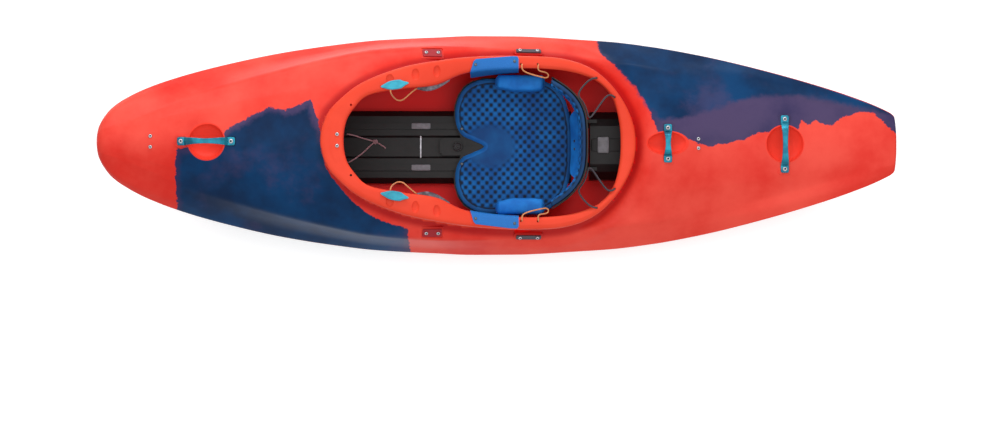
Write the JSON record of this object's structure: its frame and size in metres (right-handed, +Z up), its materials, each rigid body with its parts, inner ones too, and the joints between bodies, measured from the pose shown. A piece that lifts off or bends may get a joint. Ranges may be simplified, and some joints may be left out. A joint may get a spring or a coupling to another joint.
{
  "type": "whitewater kayak",
  "caption": "Short river-running kayak: rockered moulded hull with a keyhole cockpit, grab handles, padded sliding seat, backband, hip pads and footrest.",
  "frame": {"origin": "under the middle of the hull, on the surface that it stands on", "axes": "+X towards the stern, +Y to starboard, +Z up; the bow points to -X"},
  "size_m": [2.32, 0.6468, 0.4084],
  "materials": {
    "hull_plastic": "satin rotomoulded polyethylene, orange-red marbled with deep blue",
    "turquoise_metal": "anodised turquoise",
    "turquoise_plastic": "glossy moulded",
    "steel": "stainless fasteners",
    "bar_metal": "dark grey coated",
    "red_plastic": "satin moulded",
    "black_plastic": "satin moulded",
    "grey_plastic": "satin moulded",
    "grey_foam": "closed-cell foam",
    "blue_foam": "closed-cell foam with raised nubs",
    "blue_cloth": "coated webbing",
    "elastic": "braided elastic cord",
    "orange_cord": "braided cord",
    "pink_cord": "braided cord"
  },
  "bodies": {
    "hull": {"hull_shell": "hull_plastic", "bow_handle": "turquoise_metal", "mid_handle": "turquoise_metal", "stern_handle": "turquoise_metal", "bow_handle_bolt_front": "steel", "bow_handle_bolt_rear": "steel", "mid_handle_bolt_port": "steel", "stern_handle_bolt_port": "steel", "coaming_bolt_port": "steel", "bow_pillar_screw_port": "steel", "stern_pillar_screw_port": "steel", "pocket_plate_bolt_port_1": "steel", "side_bar_bolt_port_1": "steel", "rail_bolt_port_1": "steel", "pocket_plate_bolt_port_2": "steel", "side_bar_bolt_port_2": "steel", "rail_bolt_port_2": "steel", "mid_handle_bolt_starboard": "steel", "stern_handle_bolt_starboard": "steel", "coaming_bolt_starboard": "steel", "bow_pillar_screw_starboard": "steel", "stern_pillar_screw_starboard": "steel", "pocket_plate_bolt_starboard_1": "steel", "side_bar_bolt_starboard_1": "steel", "rail_bolt_starboard_1": "steel", "pocket_plate_bolt_starboard_2": "steel", "side_bar_bolt_starboard_2": "steel", "rail_bolt_starboard_2": "steel", "pocket_plate_port": "red_plastic", "side_bar_port": "bar_metal", "footrest_rail_port": "black_plastic", "hip_pad_port": "blue_foam", "rim_tab_port": "blue_cloth", "cord_guide_port": "grey_plastic", "toggle_cord_port": "orange_cord", "elastic_cord_port": "elastic", "wing_cord_port": "orange_cord", "pocket_plate_starboard": "red_plastic", "side_bar_starboard": "bar_metal", "footrest_rail_starboard": "black_plastic", "hip_pad_starboard": "blue_foam", "rim_tab_starboard": "blue_cloth", "cord_guide_starboard": "grey_plastic", "toggle_cord_starboard": "orange_cord", "elastic_cord_starboard": "elastic", "wing_cord_starboard": "orange_cord", "floor_console": "black_plastic", "seat_tail": "black_plastic", "bow_pillar": "grey_foam", "stern_pillar": "grey_foam", "front_cord": "pink_cord"},
    "seat": {"seat_base": "black_plastic", "seat_pad": "blue_foam"},
    "seat_knob": {"seat_knob": "black_plastic"},
    "backband": {"backband_shell": "black_plastic", "backband_pad": "blue_foam"},
    "toggle_port": {"toggle_port": "turquoise_plastic"},
    "toggle_starboard": {"toggle_starboard": "turquoise_plastic"},
    "footrest": {"footrest_plate": "black_plastic", "footrest_pad": "grey_foam"}
  },
  "joints": [
    {"name": "seat_slide", "type": "slide", "parent": "hull", "child": "seat", "axis": [1, 0, 0], "range_m": [-0.05, 0.02]},
    {"name": "seat_knob_turn", "type": "hinge", "parent": "seat", "child": "seat_knob", "pos_m": [-0.124, 0, 0.07], "axis": [0, 0, 1], "continuous": true},
    {"name": "backband_tilt", "type": "hinge", "parent": "hull", "child": "backband", "pos_m": [0.2535, 0, 0.138], "axis": [0, -1, 0], "range_deg": [-6, 15], "deforming": ["elastic_cord_port", "elastic_cord_starboard", "wing_cord_port", "wing_cord_starboard"]},
    {"name": "toggle_port_pull", "type": "slide", "parent": "hull", "child": "toggle_port", "axis": [-0.9746, 0.1499, 0.1666], "range_m": [-0.02, 0.048], "deforming": ["toggle_cord_port"]},
    {"name": "toggle_starboard_pull", "type": "slide", "parent": "hull", "child": "toggle_starboard", "axis": [-0.9746, -0.1499, 0.1666], "range_m": [-0.02, 0.048], "deforming": ["toggle_cord_starboard"]},
    {"name": "footrest_slide", "type": "slide", "parent": "hull", "child": "footrest", "axis": [1, 0, 0], "range_m": [-0.055, 0.055]}
  ],
  "couplings": [
    {"joint": "toggle_port_pull", "follows": "backband_tilt", "m_per_rad": 0.172},
    {"joint": "toggle_starboard_pull", "follows": "backband_tilt", "m_per_rad": 0.172}
  ]
}
